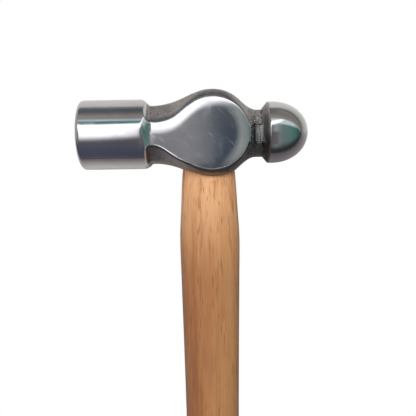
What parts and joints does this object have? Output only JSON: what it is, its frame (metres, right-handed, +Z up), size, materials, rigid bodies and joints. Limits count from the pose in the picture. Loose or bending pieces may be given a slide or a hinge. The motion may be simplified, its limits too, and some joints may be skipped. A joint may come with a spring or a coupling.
{
  "type": "ball peen hammer",
  "caption": "Ball peen hammer lying on its side: polished steel head with a round striking face and a ball, on a waisted oval wooden handle held in the eye by wedges.",
  "frame": {"origin": "on the bench the hammer lies on, under the middle of its box", "axes": "+X along the head from the striking face to the ball, +Y along the handle from the butt to the head, +Z up out of the cheek"},
  "size_m": [0.09, 0.315, 0.0274],
  "materials": {
    "head_steel": "ground and polished, with darker forged necks",
    "handle_wood": "clear lacquer over open-grained wood",
    "wedge_wood": "bare end grain, sanded flush",
    "wedge_steel": "dark mill finish"
  },
  "bodies": {
    "root": {"head": "head_steel", "handle": "handle_wood", "wooden_wedge": "wedge_wood", "steel_wedge_1": "wedge_steel", "steel_wedge_2": "wedge_steel"}
  },
  "joints": []
}
